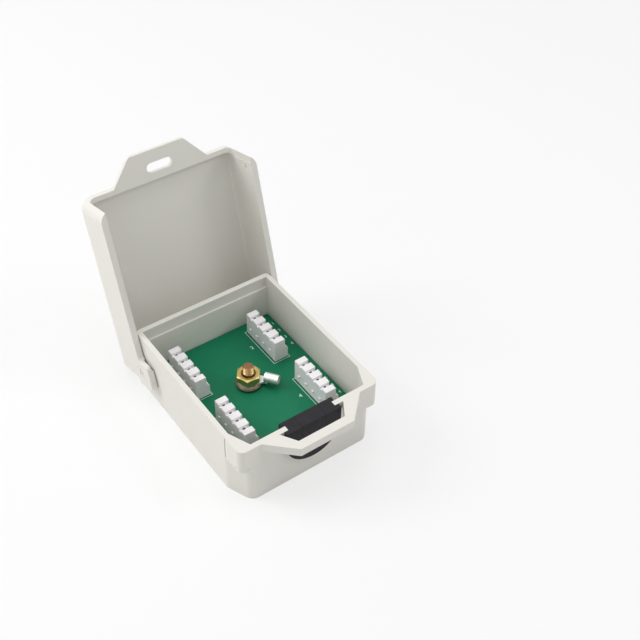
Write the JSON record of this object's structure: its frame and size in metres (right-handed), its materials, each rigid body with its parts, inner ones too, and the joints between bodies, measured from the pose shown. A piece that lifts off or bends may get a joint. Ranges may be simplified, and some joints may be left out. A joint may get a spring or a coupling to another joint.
{
  "type": "ethernet surge protector",
  "caption": "Outdoor surge protector for a network line: hinged-lid plastic tub holding a circuit board, push-wire terminal blocks, a brass ground stud and a rubber cable grommet.",
  "frame": {"origin": "centre of the tub's flat underside, which is the wall-mounting face", "axes": "+X across the width, +Y to the hinge side, +Z out of the wall towards the open top; the cable side faces -Y"},
  "size_m": [0.0716, 0.1231, 0.0923],
  "materials": {
    "beige_plastic": "fine matt moulded, warm light grey",
    "black_rubber": "matt black",
    "green_board": "satin green solder mask",
    "grey_housing": "fine matt, pale grey",
    "tinned_metal": "bright tin plate",
    "brass": "machined, slightly dulled",
    "tube_ceramic": "matt white ceramic",
    "black_package": "matt moulded epoxy"
  },
  "bodies": {
    "tub": {"base_tub": "beige_plastic", "cable_grommet": "black_rubber", "circuit_board": "green_board", "block_back_left": "grey_housing", "block_back_right": "grey_housing", "block_front_left": "grey_housing", "block_front_right": "grey_housing", "contacts_back_left": "tinned_metal", "contacts_back_right": "tinned_metal", "contacts_front_left": "tinned_metal", "contacts_front_right": "tinned_metal", "ground_stud": "brass", "flat_washer": "brass", "ring_lug": "tinned_metal", "lock_washer": "brass", "hex_nut": "brass", "gas_tube_bodies": "tube_ceramic", "gas_tube_caps": "tinned_metal", "diode_packages": "black_package", "diode_leads": "tinned_metal"},
    "lid": {"lid": "beige_plastic"}
  },
  "joints": [
    {"name": "lid_hinge", "type": "hinge", "parent": "tub", "child": "lid", "pos_m": [0, 0.0317, 0.0147], "axis": [1, 0, 0], "range_deg": [0, 105.3]}
  ]
}
